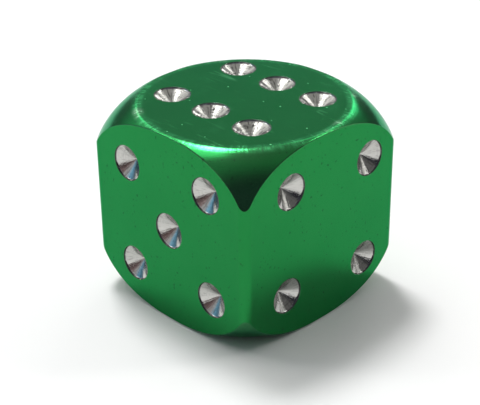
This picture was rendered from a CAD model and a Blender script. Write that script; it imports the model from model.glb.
"""Looks of the anodised aluminium die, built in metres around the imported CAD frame.

The CAD's two nodes are replaced by finer meshes of the same shape: the anodised skin, with its
softened creases and a round window at each pip, and the bare core, with the drilled pits. Both
come from one routine, because the core is the skin's shape with the film's thickness taken off.
"""

import math
import random

import bmesh
import bpy
from mathutils import Matrix, Quaternion, Vector
from mathutils.geometry import delaunay_2d_cdt


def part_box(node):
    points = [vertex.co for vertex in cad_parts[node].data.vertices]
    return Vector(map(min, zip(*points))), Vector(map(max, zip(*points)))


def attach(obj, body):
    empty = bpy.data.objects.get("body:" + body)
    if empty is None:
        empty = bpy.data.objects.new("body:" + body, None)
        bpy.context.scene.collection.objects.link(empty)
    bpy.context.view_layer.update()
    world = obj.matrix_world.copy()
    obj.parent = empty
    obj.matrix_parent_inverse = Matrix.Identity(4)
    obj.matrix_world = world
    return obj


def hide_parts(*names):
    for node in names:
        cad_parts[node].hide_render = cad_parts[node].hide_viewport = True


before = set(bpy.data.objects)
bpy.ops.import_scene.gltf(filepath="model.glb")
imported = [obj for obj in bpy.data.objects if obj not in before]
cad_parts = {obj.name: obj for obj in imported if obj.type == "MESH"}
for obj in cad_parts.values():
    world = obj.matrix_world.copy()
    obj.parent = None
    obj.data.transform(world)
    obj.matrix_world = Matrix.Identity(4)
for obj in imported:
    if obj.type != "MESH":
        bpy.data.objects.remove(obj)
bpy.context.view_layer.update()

MM = 0.001
LOW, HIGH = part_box("anodised_skin")
CENTRE = (LOW + HIGH) / 2
HALF_WIDTH = (HIGH.x - LOW.x) / 2
HALF_HEIGHT = (HIGH.z - LOW.z) / 2
RIGHT_ANGLE = math.radians(90)
FULL_TURN = 2 * math.pi

# The turned block. Angles are measured from the die's axis.
END_RADIUS = 7.75 * MM
BLEND_RADIUS = 0.8 * MM
BLEND_ANGLE = math.radians(25)
SHOULDER_RADIUS = 5.8 * MM
EDGE_RADIUS = 0.65 * MM
CREASE_RADIUS = 0.14 * MM
FILM = 0.05 * MM

# The pips. The drill's corner is a little worn, which rounds the meeting of a pit's wall and cone.
PIP_RADIUS = 1.37 * MM
PIP_WALL = 0.13 * MM
PIP_DEPTH = 0.95 * MM
PIP_TIP_RADIUS = 0.03 * MM
PIP_CORNER_RADIUS = 0.11 * MM
LIP_RADIUS = 0.02 * MM
COLLAR = 0.05 * MM
# How far the outer pips are from their face's middle lines. The six's two rows are closer in.
PITCH = 4.15 * MM
ROW_PITCH = 3.43 * MM
ONE = [(0, 0)]
TWO = [(-1, -1), (1, 1)]
THREE = [(-1, 1), (0, 0), (1, -1)]
FOUR = [(-1, -1), (-1, 1), (1, -1), (1, 1)]
FIVE = FOUR + ONE
SIX = [(column, row) for row in (-1, 1) for column in (-1, 0, 1)]

# How far the drill's marks stand off a true cone on each face. The rest are as clean as the five.
CLEAN_DRILLING = 0.0008 * MM
ROUGH_DRILLING = {"one": 0.004 * MM, "six": 0.004 * MM, "four": 0.0022 * MM, "three": 0.0016 * MM}
DRILLING_SEED = 21
# How much of the drill's dark scores shows in the pits of the ends and of the sides. The bare
# metal also tells the two kinds of pit apart by it.
END_SCORING = 1.0
SIDE_SCORING = 0.4

# For each face: its pips, its outward and upward directions, how far its pattern sits to the
# right and up of the middle, and how far it is turned, in degrees.
UP = Vector((0, 0, 1))
FACES = {
    "one": (ONE, -UP, Vector((0, -1, 0)), 0, 0, 0),
    "two": (TWO, Vector((0, 1, 0)), UP, 0, 0, 0),
    "three": (THREE, Vector((-1, 0, 0)), UP, 0, 0, 0),
    "four": (FOUR, Vector((1, 0, 0)), UP, 0.55 * MM, 0, -2.3),
    "five": (FIVE, Vector((0, -1, 0)), UP, 0.2 * MM, 0, 2.5),
    "six": (SIX, UP, Vector((0, 1, 0)), -0.48 * MM, 0.5 * MM, 0),
}
ENDS = {"six": "upper", "one": "lower"}
# in the order of the quarters of the bar's section
SIDES = ("four", "two", "three", "five")

# How finely the meshes are made.
SIDE_STEPS = 56
CORNER_STEPS = 10
BLEND_STEPS = 7
SHOULDER_STEPS = 22
CREASE_STEPS = 5
WALL_STEPS = 6
PIP_SEGMENTS = 96
PIP_RINGS = 28
PIP_CORNER_STEPS = 6
LIP_STEPS = 3
MERGE_DISTANCE = 1e-8
# The flat faces are filled in millimetres, so that their sizes are far above the tolerance. Of the
# triangles, the filling routine's mode 1 keeps those inside the border.
FILL_TOLERANCE = 1e-6
TRIANGLES_INSIDE = 1

# The dye, cloudy between two shades, and what it turns into where it is thin, worn or marked.
DEEP_DYE = (0.007, 0.186, 0.038, 1)
LIGHT_DYE = (0.011, 0.216, 0.046, 1)
THIN_DYE = (0.26, 0.36, 0.29, 1)
SPECKED_DYE = (0.005, 0.045, 0.014, 1)
RUBBED_DYE = (0.10, 0.62, 0.24, 1)
WORN_DYE = (0.52, 0.66, 0.54, 1)
SMUDGED_DYE = (0.030, 0.280, 0.085, 1)
MARKED_DYE = (0.22, 0.78, 0.36, 1)
DYE_AT_GRAZING_ANGLES = (0.46, 0.81, 0.66, 1)
CUT_FILM = ((0.03, 0.08, 0.045, 1), (0.14, 0.25, 0.18, 1))

# The bare metal: a pit's cone, its scores, and its wall, which is darker on the sides' pits.
CONE_METAL = ((0.445, 0.440, 0.420, 1), (0.585, 0.580, 0.555, 1))
SCORED_METAL = (0.15, 0.15, 0.14, 1)
SIDE_WALL_METAL = ((0.16, 0.16, 0.16, 1), (0.38, 0.38, 0.37, 1))
END_WALL_METAL = ((0.50, 0.50, 0.48, 1), (0.85, 0.85, 0.82, 1))
HIDDEN_METAL = ((0.70, 0.70, 0.71, 1), (0.80, 0.80, 0.81, 1))

# The studio's light: the room's own, and soft panels laid over it, each over those before it. Each
# panel has its azimuth and elevation, the angles out to which it is whole and at which it is gone,
# and its light. The camera is at azimuth 45, so 225 is behind the die.
ROOM = (0.26, 0.26, 0.265)
PANELS = [
    (285, 20, 20, 120, 0.58, 0.58, 0.59),  # the broad, pale left of the room
    (225, 25, 10, 45, 0.50, 0.50, 0.50),  # the wall behind the die
    (225, -3, 12, 24, 1.3, 1.3, 1.3),  # that wall, brighter near the floor
    (150, 75, 8, 24, 0.40, 0.40, 0.38),  # the ceiling, to the right
    (270, 48, 10, 30, 1.15, 1.15, 1.12),  # behind and left, high
    (277, 68, 9, 14, 3.2, 3.2, 3.1),  # beside the key lamp
    (243, 50, 4, 10, 3.0, 3.0, 2.9),  # behind and left, small
    (60, 24, 26, 60, 0.080, 0.085, 0.115),  # the dark behind the camera
    (118, 20, 18, 36, 0.17, 0.17, 0.17),  # the dim right of the room
    (245, 28, 3, 8, 3.6, 3.6, 3.4),  # behind and left, small and lower
    (204, 23, 4, 10, 4.2, 4.2, 4.0),  # behind and right, small
    (213, 36, 3, 7, 2.8, 2.8, 2.6),  # behind and right, small and higher
    (146, 14, 8, 15, 2.0, 2.0, 1.95),  # right, low
    (357, 7, 13, 18, 0.40, 0.28, 0.28),  # the brown that the five's pits mirror
    (310, 9, 14, 21, 0.32, 0.74, 1.05),  # and the blue
    (175, 47, 6, 11, 2.3, 2.3, 2.2),  # behind and right, high
    (305, 37, 3, 7, 14.0, 14.0, 13.5),  # the glints at the lower rims of the five's pits
    (144, 38, 3, 7, 15.0, 15.0, 14.5),  # and of the four's
]
# All of it is dimmed to this share near the floor, and is whole again above this elevation.
SKIRTING = 0.35
SKIRTING_TOP = 20

# The key lamp, a disk that faces the die: its place, half the angle that it fills, its light.
LAMP_DISTANCE = 1.3
LAMP_AZIMUTH = 252
LAMP_ELEVATION = 66
LAMP_HALF_ANGLE = math.radians(7.2)
LAMP_RADIANCE = 36

FLOOR_HALF_WIDTH = 3.0
FLOOR_COLOUR = (0.87, 0.87, 0.87, 1)

# The camera, at the photograph's viewing angle.
CAMERA_AZIMUTH = 45.49
CAMERA_ELEVATION = 28.05
CAMERA_ROLL = -0.59
CAMERA_DISTANCE = 100 * MM
CAMERA_LENS = 98.9
CAMERA_SHIFT = (-0.0115, -0.0205)


# ---- shape ----


def arc_points(centre, radius, start, end, steps):
    """Points (out, up) along an arc, by angle from straight up."""
    angles = [start + (end - start) * step / steps for step in range(steps + 1)]
    return [(centre[0] + radius * math.sin(a), centre[1] + radius * math.cos(a)) for a in angles]


def outline(inset):
    """The bar's section, as a side's points and a corner's for each quarter."""
    half = HALF_WIDTH - inset
    straight = HALF_WIDTH - EDGE_RADIUS
    quarters = []
    for quarter in range(4):
        turn = Matrix.Rotation(RIGHT_ANGLE * quarter, 2)
        side = []
        for step in range(SIDE_STEPS + 1):
            # closer together towards the corners, where the arches are steep
            across = straight * math.sin(RIGHT_ANGLE * (2 * step / SIDE_STEPS - 1))
            side.append(turn @ Vector((half, across)))
        corner = []
        for step in range(1, CORNER_STEPS):
            angle = RIGHT_ANGLE * step / CORNER_STEPS
            out = Vector((math.cos(angle), math.sin(angle))) * (EDGE_RADIUS - inset)
            corner.append(turn @ (Vector((straight, straight)) + out))
        quarters.append((side, corner))
    return quarters


def turned_profile(reach, inset):
    """Points (out, up) from the end flat's edge down to the side, which is out at reach."""
    blend_centre = (END_RADIUS, HALF_HEIGHT - BLEND_RADIUS)
    gap = SHOULDER_RADIUS - BLEND_RADIUS
    shoulder_centre = (
        blend_centre[0] - gap * math.sin(BLEND_ANGLE),
        blend_centre[1] - gap * math.cos(BLEND_ANGLE),
    )
    # the crease's centre is one crease radius inside both the side and the arc that it meets
    crease_out = reach + inset - CREASE_RADIUS
    centre, radius = blend_centre, BLEND_RADIUS
    sine = (crease_out - centre[0]) / (radius - CREASE_RADIUS)
    if sine > math.sin(BLEND_ANGLE):
        centre, radius = shoulder_centre, SHOULDER_RADIUS
        sine = (crease_out - centre[0]) / (radius - CREASE_RADIUS)
    meets = math.asin(sine)
    crease_centre = (crease_out, centre[1] + (radius - CREASE_RADIUS) * math.cos(meets))

    blend_end = min(meets, BLEND_ANGLE)
    shoulder_end = max(meets, BLEND_ANGLE)
    blend = arc_points(blend_centre, BLEND_RADIUS - inset, 0, blend_end, BLEND_STEPS)
    shoulder = arc_points(
        shoulder_centre, SHOULDER_RADIUS - inset, BLEND_ANGLE, shoulder_end, SHOULDER_STEPS
    )
    if meets < BLEND_ANGLE:
        # the side cuts the blend itself, so no shoulder is left
        shoulder = [blend[-1]] * (SHOULDER_STEPS + 1)
    crease = arc_points(crease_centre, CREASE_RADIUS - inset, meets, RIGHT_ANGLE, CREASE_STEPS)
    return blend + shoulder[1:] + crease[1:]


def bridge(bm, row, following, material=0, closed=False):
    """Smooth quads between two rows of vertices."""
    count = len(row)
    for step in range(count if closed else count - 1):
        after = (step + 1) % count
        face = bm.faces.new((row[step], following[step], following[after], row[after]))
        face.material_index = material
        face.smooth = True


def fill_flat(bm, border, holes, rightward, upward):
    """Fills a flat face that has round holes, without adding vertices."""
    vertices = list(border)
    edges = [(step, (step + 1) % len(border)) for step in range(len(border))]
    owners = [None] * len(border)
    for number, hole in enumerate(holes):
        start = len(vertices)
        edges += [(start + step, start + (step + 1) % len(hole)) for step in range(len(hole))]
        owners += [number] * len(hole)
        vertices += hole
    flat = [Vector((v.co.dot(rightward), v.co.dot(upward))) / MM for v in vertices]
    triangles = delaunay_2d_cdt(flat, edges, [], TRIANGLES_INSIDE, FILL_TOLERANCE)[2]
    for corners in triangles:
        inside = {owners[corner] for corner in corners}
        if len(inside) == 1 and None not in inside:
            # all three corners are on one hole's rim, so the triangle lies in the hole
            continue
        face = bm.faces.new([vertices[corner] for corner in corners])
        face.smooth = True


def pip_frames(face):
    """For each pip of a face: its middle, and the face's rightward, upward and outward."""
    steps, normal, upward, shift_right, shift_up, tilt = FACES[face]
    rightward = upward.cross(normal)
    distance = HALF_HEIGHT if face in ENDS else HALF_WIDTH
    turn = Matrix.Rotation(math.radians(tilt), 2)
    row_pitch = ROW_PITCH if face == "six" else PITCH
    frames = []
    for column, row in steps:
        right, up = turn @ Vector((column * PITCH, row * row_pitch))
        offset = rightward * (right + shift_right) + upward * (up + shift_up)
        frames.append((CENTRE + normal * distance + offset, rightward, upward, normal))
    return frames


def pip_ring(bm, pip, radius, depth):
    """A ring of vertices round a pip's axis, its depth being a number or a function of angle."""
    middle, rightward, upward, normal = pip
    ring = []
    for step in range(PIP_SEGMENTS):
        angle = FULL_TURN * step / PIP_SEGMENTS
        out = rightward * math.cos(angle) + upward * math.sin(angle)
        at = depth(angle) if callable(depth) else depth
        ring.append(bm.verts.new(middle + out * radius - normal * at))
    return ring


def pit_profile():
    """A pit's side below its wall: each ring's radius, its depth and how far down the cone it is."""
    height = PIP_DEPTH - PIP_WALL
    turn = math.atan2(PIP_RADIUS - PIP_TIP_RADIUS, height)
    reach = PIP_CORNER_RADIUS * math.tan(turn / 2)
    profile = []
    for step in range(PIP_CORNER_STEPS + 1):
        angle = turn * step / PIP_CORNER_STEPS
        radius = PIP_RADIUS - PIP_CORNER_RADIUS * (1 - math.cos(angle))
        depth = PIP_WALL - reach + PIP_CORNER_RADIUS * math.sin(angle)
        profile.append((radius, depth, 0.0))
    start = reach * math.cos(turn) / height
    for step in range(1, PIP_RINGS + 1):
        down = start + (1 - start) * step / PIP_RINGS
        radius = PIP_RADIUS - (PIP_RADIUS - PIP_TIP_RADIUS) * down
        profile.append((radius, PIP_WALL + height * down, down))
    return profile


def pip_holes(bm, inset, mouth_radius):
    """The rims of the pips' holes, and narrow flat collars round them.

    Returns {face: [(pip frame, ring of vertices)]} and {face: [collar's outer ring]}. The collars
    keep a face's shading flat right up to its holes.
    """
    holes = {}
    for face in FACES:
        pips = pip_frames(face)
        holes[face] = [(pip, pip_ring(bm, pip, mouth_radius, inset)) for pip in pips]
    collars = {}
    for face, pips in holes.items():
        collars[face] = [pip_ring(bm, pip, mouth_radius + COLLAR, inset) for pip, _ in pips]
        for (_, ring), collar in zip(pips, collars[face]):
            bridge(bm, collar, ring, closed=True)
    return holes, collars


def block_column(bm, point, inset, with_wall):
    """Vertices down the block at one point of its section, in rows by name.

    The rows "upper" and "lower" run from an end's edge to the side. The row "wall" joins them, where
    the column isn't in the middle of a flat side.
    """
    out = point.normalized()
    profile = turned_profile(point.length, inset)
    column = {}
    for end, sign in (("upper", 1), ("lower", -1)):
        places = [CENTRE + Vector((*(out * reach), sign * up)) for reach, up in profile]
        column[end] = [bm.verts.new(place) for place in places]
    if with_wall:
        top, bottom = column["upper"][-1], column["lower"][-1]
        places = [top.co.lerp(bottom.co, step / WALL_STEPS) for step in range(1, WALL_STEPS)]
        column["wall"] = [top, *[bm.verts.new(place) for place in places], bottom]
    return column


def block_sheet(bm, inset, mouth_radius):
    """The block's whole surface, lying inset inside the die's, with a hole for each pip.

    Returns {face: [(pip frame, ring of vertices round its hole)]}.
    """
    holes, collars = pip_holes(bm, inset, mouth_radius)
    columns = {}
    for quarter, (side, corner) in enumerate(outline(inset)):
        for step, point in enumerate(side):
            at_corner = step in (0, SIDE_STEPS)
            columns[quarter, "side", step] = block_column(bm, point, inset, at_corner)
        for step, point in enumerate(corner):
            columns[quarter, "corner", step] = block_column(bm, point, inset, True)

    order = list(columns)
    for here, there in zip(order, order[1:] + order[:1]):
        this, following = columns[here], columns[there]
        rows = ["upper", "lower"]
        if "corner" in (here[1], there[1]):
            rows.append("wall")
        for row in rows:
            bridge(bm, this[row], following[row])

    borders = {face: [columns[key][end][0] for key in order] for face, end in ENDS.items()}
    for quarter, face in enumerate(SIDES):
        side = [columns[quarter, "side", step] for step in range(SIDE_STEPS + 1)]
        borders[face] = [
            *[column["upper"][-1] for column in side],
            *side[-1]["wall"][1:-1],
            *[column["lower"][-1] for column in reversed(side)],
            *side[0]["wall"][-2:0:-1],
        ]
    for face, border in borders.items():
        _, normal, upward, *_ = FACES[face]
        fill_flat(bm, border, collars[face], upward.cross(normal), upward)
    return holes


def finish_mesh(bm, name, materials, replaced):
    """Turns a mesh in the making into a piece of the die."""
    bmesh.ops.remove_doubles(bm, verts=bm.verts, dist=MERGE_DISTANCE)
    bmesh.ops.recalc_face_normals(bm, faces=bm.faces)
    mesh = bpy.data.meshes.new(name)
    bm.to_mesh(mesh)
    bm.free()
    for material in materials:
        mesh.materials.append(material)
    piece = bpy.data.objects.new(name, mesh)
    bpy.context.scene.collection.objects.link(piece)
    weighted = piece.modifiers.new("flat faces stay flat", "WEIGHTED_NORMAL")
    weighted.mode = "FACE_AREA"
    weighted.weight = 100
    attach(piece, "root")
    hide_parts(replaced)


def make_skin(film, cut_edge):
    """The anodic film: a closed shell with a window through it at each pip."""
    bm = bmesh.new()
    outer = block_sheet(bm, 0, PIP_RADIUS + LIP_RADIUS)
    inner = block_sheet(bm, FILM, PIP_RADIUS)
    for face in FACES:
        for (pip, ring), (_, inner_ring) in zip(outer[face], inner[face]):
            # the lip is a small round from the face down into the pit
            for step in range(1, LIP_STEPS + 1):
                angle = RIGHT_ANGLE * step / LIP_STEPS
                radius = PIP_RADIUS + LIP_RADIUS * (1 - math.sin(angle))
                lip = pip_ring(bm, pip, radius, LIP_RADIUS * (1 - math.cos(angle)))
                bridge(bm, ring, lip, material=1, closed=True)
                ring = lip
            bridge(bm, ring, inner_ring, material=1, closed=True)
    finish_mesh(bm, "anodised_skin_finish", [film, cut_edge], "anodised_skin")


def drill_marks(dice, rough):
    """How far the drill's marks lift a pit's cone, by how far down it is (0 to 1) and angle."""
    waves = [
        (dice.uniform(0.5, 1), dice.uniform(3, 8), dice.uniform(0, FULL_TURN))
        for _ in range(3)
    ]
    lobes = dice.randint(5, 9)
    twist = dice.uniform(2, 5)
    start = dice.uniform(0, FULL_TURN)

    def lift(down, angle):
        rings = sum(size * math.sin(FULL_TURN * count * down + at) for size, count, at in waves)
        chatter = 1 + 0.35 * math.sin(lobes * angle + twist * down + start)
        # nothing at the cone's top and tip, and whole an eighth of the way from them
        fade = min(1, 8 * down, 8 * (1 - down))
        return rough * rings * chatter * fade / len(waves)

    return lift


def make_core(hidden, drilled):
    """The bare block, with a pit at each pip: a short wall, a rounded corner and a cone."""
    bm = bmesh.new()
    # where a vertex lies across and up from its pit's middle, in radii, and a number for the pit
    pit_place = bm.verts.layers.float_vector.new("pit")
    scoring = bm.verts.layers.float.new("scoring")
    holes = block_sheet(bm, FILM, PIP_RADIUS)
    dice = random.Random(DRILLING_SEED)
    for face, pips in holes.items():
        rough = ROUGH_DRILLING.get(face, CLEAN_DRILLING)
        for pip, ring in pips:
            lift = drill_marks(dice, rough)
            seed = dice.uniform(0, 100)
            middle, rightward, upward, _ = pip
            rings = [ring]
            for radius, depth, down in pit_profile():
                rings.append(pip_ring(bm, pip, radius, lambda angle: depth - lift(down, angle)))
            for above, below in zip(rings, rings[1:]):
                bridge(bm, above, below, material=1, closed=True)
            tip = bm.faces.new(rings[-1])
            tip.material_index = 1
            for vertex in (vertex for ring in rings for vertex in ring):
                away = vertex.co - middle
                across, up = (away.dot(axis) / PIP_RADIUS for axis in (rightward, upward))
                vertex[pit_place] = Vector((across, up, seed))
                vertex[scoring] = END_SCORING if face in ENDS else SIDE_SCORING
    finish_mesh(bm, "aluminium_core_finish", [hidden, drilled], "aluminium_core")


# ---- materials ----


class Nodes:
    """The node tree of a material or a world, with short ways to add to it."""

    def __init__(self, owner, shader):
        owner.use_nodes = True
        self.owner = owner
        self.tree = owner.node_tree
        self.shader = self.tree.nodes[shader]

    def put(self, socket, value):
        """Gives an input a value, or links it to a socket."""
        if isinstance(value, bpy.types.NodeSocket):
            self.tree.links.new(value, socket)
        else:
            socket.default_value = value

    def put_all(self, node, inputs):
        """Gives values or links to a node's inputs by name, with _ for a space."""
        for name, value in inputs.items():
            self.put(node.inputs[name.replace("_", " ")], value)

    def finish(self, **inputs):
        """Gives the shader its inputs, and returns the material or world."""
        self.put_all(self.shader, inputs)
        return self.owner

    def add(self, kind, settings=None, **inputs):
        """Adds a node. An input is a value or another node's socket."""
        node = self.tree.nodes.new(kind)
        for name, value in (settings or {}).items():
            setattr(node, name, value)
        self.put_all(node, inputs)
        return node

    def math(self, operation, *values):
        """A math node's result."""
        node = self.add("ShaderNodeMath", {"operation": operation})
        for socket, value in zip(node.inputs, values):
            self.put(socket, value)
        return node.outputs[0]

    def times(self, *values):
        """The product of two or more values."""
        product, *others = values
        for value in others:
            product = self.math("MULTIPLY", product, value)
        return product

    def vector_math(self, operation, first, second):
        """A vector math node's outputs."""
        node = self.add("ShaderNodeVectorMath", {"operation": operation})
        self.put(node.inputs[0], first)
        self.put(node.inputs[1], second)
        return node.outputs

    def apart(self, vector):
        """A vector's x, y and z."""
        return self.add("ShaderNodeSeparateXYZ", Vector=vector).outputs

    def joined(self, x, y, z=0.0):
        """The vector of x, y and z."""
        return self.add("ShaderNodeCombineXYZ", X=x, Y=y, Z=z).outputs[0]

    def distance(self, x, y):
        """How far (x, y) is from the middle."""
        return self.math("SQRT", self.math("ADD", self.times(x, x), self.times(y, y)))

    def spoke(self, x, y, radius, least, z):
        """A place for noise that changes round the middle, but outwards only by z."""
        safe = self.math("MAXIMUM", radius, least)
        return self.joined(self.math("DIVIDE", x, safe), self.math("DIVIDE", y, safe), z)

    def between(self, value, low, high, to_low=0.0, to_high=1.0):
        """Maps a value from one range to another, smoothly and without running over."""
        node = self.add("ShaderNodeMapRange", {"interpolation_type": "SMOOTHSTEP"})
        for socket, number in zip(node.inputs, (value, low, high, to_low, to_high)):
            self.put(socket, number)
        return node.outputs[0]

    def mix(self, share, first, second):
        """A colour between two colours."""
        node = self.add("ShaderNodeMix", {"data_type": "RGBA"})
        # by number, because the node has hidden sockets of the same names for other kinds of value
        for socket, value in ((0, share), (6, first), (7, second)):
            self.put(node.inputs[socket], value)
        return node.outputs[2]

    def noise(self, place, scale, detail=2.0, roughness=0.5):
        """A noise texture's value."""
        node = self.add("ShaderNodeTexNoise", Vector=place, Scale=scale, Detail=detail,
                        Roughness=roughness)
        return node.outputs[0]

    def bump(self, height, strength, distance, normal=None):
        """A bumped normal."""
        node = self.add("ShaderNodeBump", Height=height, Strength=strength, Distance=distance)
        if normal is not None:
            self.put(node.inputs["Normal"], normal)
        return node.outputs[0]


def new_material(name):
    """A new material's nodes."""
    return Nodes(bpy.data.materials.new(name), "Principled BSDF")


def end_marks(n, place):
    """Small dents and fine scratches, as shares from 0 to 1, for the flat ends."""
    dents = n.add("ShaderNodeTexVoronoi", {"voronoi_dimensions": "2D"}, Vector=place, Scale=760.0)
    chosen = n.add("ShaderNodeSeparateColor", Color=dents.outputs["Color"]).outputs
    size = n.between(chosen[1], 0.0, 1.0, 0.035, 0.075)
    dent = n.times(
        n.between(dents.outputs["Distance"], 0.02, size, 1.0, 0.0),
        n.between(chosen[0], 0.62, 0.95),
    )
    scratch = None
    for turn, offset, scale in ((22, 0.0, 428.0), (-58, 7.3, 292.0), (71, 3.1, 869.0)):
        along = n.add("ShaderNodeMapping", Vector=place, Rotation=(0, 0, math.radians(turn)),
                      Location=(offset, 0, 0), Scale=(0.05, 1.0, 1.0)).outputs[0]
        line = n.math("ABSOLUTE", n.math("SUBTRACT", n.noise(along, 520.0, 0.0, 0.5), 0.5))
        line = n.between(line, 0.0, 0.006, 1.0, 0.0)
        line = n.times(line, n.between(n.noise(place, scale, 1.0, 0.5), 0.55, 0.66))
        scratch = line if scratch is None else n.math("MAXIMUM", scratch, line)
    return n.math("MAXIMUM", dent, n.times(scratch, 0.35))


def anodised_green():
    """Dyed anodising over satin metal, turned on the shoulders and rubbed at the ends' rims."""
    n = new_material("dyed green anodising")
    place = n.add("ShaderNodeTexCoord").outputs["Object"]
    x, y, z = n.apart(n.vector_math("SUBTRACT", place, CENTRE)[0])
    radius = n.distance(x, y)
    normal = n.add("ShaderNodeNewGeometry").outputs["Normal"]
    # 1 where the surface faces up or down, 0 where it is upright
    level = n.math("ABSOLUTE", n.apart(normal)[2])

    # which part of the surface this is
    end_flat = n.between(level, 0.992, 0.999)
    shoulder = n.times(n.between(level, 0.08, 0.25), n.between(level, 0.88, 0.93, 1.0, 0.0))
    rim = n.times(
        n.between(radius, END_RADIUS - 0.42 * MM, END_RADIUS - 0.10 * MM),
        n.between(level, 0.87, 0.91),
    )

    # the dye, a little cloudy, thinner on the shoulders, and specked except on the ends
    cloud = n.noise(place, 260.0, 3.0, 0.55)
    dye = n.mix(cloud, DEEP_DYE, LIGHT_DYE)
    thin = n.times(n.between(level, 0.80, 0.50), 0.15, shoulder)
    dye = n.mix(thin, dye, THIN_DYE)
    speck = n.times(n.between(n.noise(place, 4600.0, 1.0, 0.5), 0.69, 0.76), 0.85)
    dye = n.mix(n.times(speck, n.math("SUBTRACT", 1.0, end_flat)), dye, SPECKED_DYE)

    # the ends' rims are rubbed, in short strokes across them, and worn pale in a few patches
    stroke_place = n.spoke(x, y, radius, 0.001 * MM, n.times(radius, 30.0))
    strokes = n.noise(stroke_place, 42.0, 3.0, 0.65)
    patches = n.noise(place, 700.0, 1.0, 0.5)
    rubbed = n.times(
        rim,
        n.between(strokes, 0.35, 0.65, 0.25, 1.0),
        n.between(patches, 0.35, 0.60, 0.55, 1.0),
    )
    dye = n.mix(n.times(rubbed, 0.45), dye, RUBBED_DYE)
    worn = n.times(rubbed, n.between(n.noise(place, 330.0, 2.0, 0.6), 0.55, 0.66), 0.55)
    dye = n.mix(worn, dye, WORN_DYE)

    # smudges, small dents and fine scratches on the ends, which catch the light
    smudge = n.times(n.between(n.noise(place, 420.0, 2.0, 0.5), 0.58, 0.72), end_flat, 0.35)
    dye = n.mix(smudge, dye, SMUDGED_DYE)
    marks = n.times(end_marks(n, place), end_flat)
    dye = n.mix(n.times(marks, 0.8), dye, MARKED_DYE)

    rough = n.between(cloud, 0.3, 0.7, 0.14, 0.19)
    rough = n.math("ADD", rough, n.times(rubbed, 0.12))
    rough = n.math("ADD", rough, n.times(marks, 0.25))

    rings = n.noise(n.joined(radius, z), 7000.0, 3.0, 0.7)
    grain = n.noise(place, 9000.0, 2.0, 0.6)
    ring_depth = n.math("ADD", n.times(shoulder, 0.45), n.times(rim, 0.70))
    bumped = n.bump(rings, ring_depth, 0.012 * MM)
    bumped = n.bump(strokes, n.times(rim, 0.5), 0.02 * MM, bumped)
    bumped = n.bump(grain, 0.15, 0.004 * MM, bumped)
    bumped = n.bump(n.math("SUBTRACT", 1.0, marks), 0.5, 0.01 * MM, bumped)
    return n.finish(
        Base_Color=dye,
        Metallic=1.0,
        Specular_Tint=DYE_AT_GRAZING_ANGLES,
        Roughness=rough,
        Normal=bumped,
        Coat_Weight=0.16,
        Coat_Roughness=0.45,
        Coat_IOR=1.6,
    )


def cut_film():
    """The film's own thickness, where the drill went through it."""
    n = new_material("cut edge of the film")
    place = n.add("ShaderNodeTexCoord").outputs["Object"]
    chips = n.noise(place, 9000.0, 3.0, 0.6)
    return n.finish(
        Base_Color=n.mix(chips, *CUT_FILM),
        Metallic=0.6,
        Roughness=0.16,
        Normal=n.bump(chips, 0.5, 0.01 * MM),
    )


def bare_metal():
    """Drilled aluminium: bright, with rings round each pit and streaks down it."""
    n = new_material("bare drilled aluminium")
    x, y, seed = n.apart(n.add("ShaderNodeAttribute", {"attribute_name": "pit"}).outputs["Vector"])
    scoring = n.add("ShaderNodeAttribute", {"attribute_name": "scoring"}).outputs["Fac"]
    radius = n.distance(x, y)
    spoke_place = n.spoke(x, y, radius, 0.001, n.math("ADD", seed, n.times(radius, 0.35)))
    ring_place = n.joined(radius, seed)
    spokes = n.noise(spoke_place, 7.0, 3.0, 0.6)
    rings = n.noise(ring_place, 22.0, 3.0, 0.7)

    # dark scores, down the pit and in arcs round it
    scores = n.between(n.noise(spoke_place, 8.0, 2.0, 0.6), 0.55, 0.62)
    grooves = n.times(
        n.between(n.noise(ring_place, 48.0, 1.0, 0.5), 0.56, 0.63),
        n.between(n.noise(spoke_place, 1.6, 1.0, 0.5), 0.46, 0.58),
    )
    scores = n.math("MAXIMUM", scores, grooves)
    shade = n.mix(spokes, *CONE_METAL)
    shade = n.mix(n.times(scores, scoring), shade, SCORED_METAL)

    # the wall, torn by the drill
    wall = n.between(radius, 0.962, 0.986)
    torn = n.between(n.noise(spoke_place, 5.0, 3.0, 0.7), 0.45, 0.65)
    side_wall = n.mix(torn, *SIDE_WALL_METAL)
    end_wall = n.mix(torn, *END_WALL_METAL)
    shade = n.mix(wall, shade, n.mix(n.between(scoring, 0.5, 0.9), side_wall, end_wall))

    bumped = n.bump(rings, 0.30, 0.012 * MM)
    bumped = n.bump(spokes, 0.45, 0.03 * MM, bumped)
    return n.finish(
        Base_Color=shade,
        Metallic=1.0,
        Roughness=n.math("ADD", n.between(rings, 0.3, 0.7, 0.05, 0.15), n.times(wall, 0.02)),
        Normal=bumped,
    )


def hidden_metal():
    """The core's surface under the film."""
    n = new_material("metal under the film")
    place = n.add("ShaderNodeTexCoord").outputs["Object"]
    grain = n.noise(place, 3000.0, 2.0, 0.5)
    return n.finish(Base_Color=n.mix(grain, *HIDDEN_METAL), Metallic=1.0, Roughness=0.4)


# ---- stage, light and camera ----


def stage_floor():
    """A plain pale floor."""
    n = new_material("pale floor")
    material = n.finish(Base_Color=FLOOR_COLOUR, Roughness=0.9, Specular_IOR_Level=0.1)
    mesh = bpy.data.meshes.new("floor")
    around = ((-1, -1), (1, -1), (1, 1), (-1, 1))
    corners = [(x * FLOOR_HALF_WIDTH, y * FLOOR_HALF_WIDTH, LOW.z) for x, y in around]
    mesh.from_pydata(corners, [], [(0, 1, 2, 3)])
    mesh.materials.append(material)
    floor = bpy.data.objects.new("floor", mesh)
    bpy.context.scene.collection.objects.link(floor)


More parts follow.
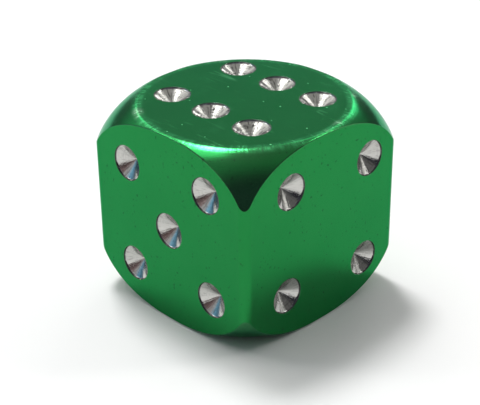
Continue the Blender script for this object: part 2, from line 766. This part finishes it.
def direction(azimuth, elevation):
    """A direction from the die: azimuth 0 is towards -Y and 90 towards +X."""
    a, e = math.radians(azimuth), math.radians(elevation)
    return Vector((math.sin(a) * math.cos(e), -math.cos(a) * math.cos(e), math.sin(e)))


def hang_key_lamp():
    """A round soft lamp that faces the die, high at the left."""
    radius = LAMP_DISTANCE * math.tan(LAMP_HALF_ANGLE)
    area = math.pi * radius ** 2
    data = bpy.data.lights.new("key lamp", "AREA")
    data.shape = "DISK"
    data.size = 2 * radius
    # a flat lamp gives off pi times its radiance times its area
    data.energy = LAMP_RADIANCE * math.pi * area
    lamp = bpy.data.objects.new("key lamp", data)
    away = direction(LAMP_AZIMUTH, LAMP_ELEVATION)
    lamp.location = CENTRE + away * LAMP_DISTANCE
    lamp.rotation_mode = "QUATERNION"
    lamp.rotation_quaternion = away.to_track_quat("Z", "Y")
    bpy.context.scene.collection.objects.link(lamp)


def light_room():
    """The studio round the die, with paler and darker sides."""
    n = Nodes(bpy.data.worlds.new("room"), "Background")
    place = n.add("ShaderNodeTexCoord").outputs["Generated"]
    light = (*ROOM, 1)
    for azimuth, elevation, whole, gone, *panel in PANELS:
        cosine = n.vector_math("DOT_PRODUCT", place, direction(azimuth, elevation))["Value"]
        ends = math.cos(math.radians(gone)), math.cos(math.radians(whole))
        light = n.mix(n.between(cosine, *ends), light, (*panel, 1))
    # the skirting fades out over the upper half of its height
    skirting = [math.sin(math.radians(SKIRTING_TOP * share)) for share in (0.5, 1)]
    strength = n.between(n.apart(place)[2], *skirting, SKIRTING)
    bpy.context.scene.world = n.finish(Color=light, Strength=strength)


def place_camera():
    """A long lens, looking down at the corner between the five and the four."""
    data = bpy.data.cameras.new("camera")
    data.sensor_width = 36
    data.lens = CAMERA_LENS
    data.shift_x, data.shift_y = CAMERA_SHIFT
    data.clip_start = 1 * MM
    camera = bpy.data.objects.new("camera", data)
    back = direction(CAMERA_AZIMUTH, CAMERA_ELEVATION)
    camera.location = CENTRE + back * CAMERA_DISTANCE
    camera.rotation_mode = "QUATERNION"
    level = (-back).to_track_quat("-Z", "Y")
    camera.rotation_quaternion = Quaternion(back, math.radians(CAMERA_ROLL)) @ level
    bpy.context.scene.collection.objects.link(camera)
    bpy.context.scene.camera = camera


def main():
    """Makes the die's two pieces and the studio round them."""
    make_skin(anodised_green(), cut_film())
    make_core(hidden_metal(), bare_metal())
    stage_floor()
    light_room()
    hang_key_lamp()
    place_camera()
    bpy.context.scene.view_settings.view_transform = "Standard"


main()
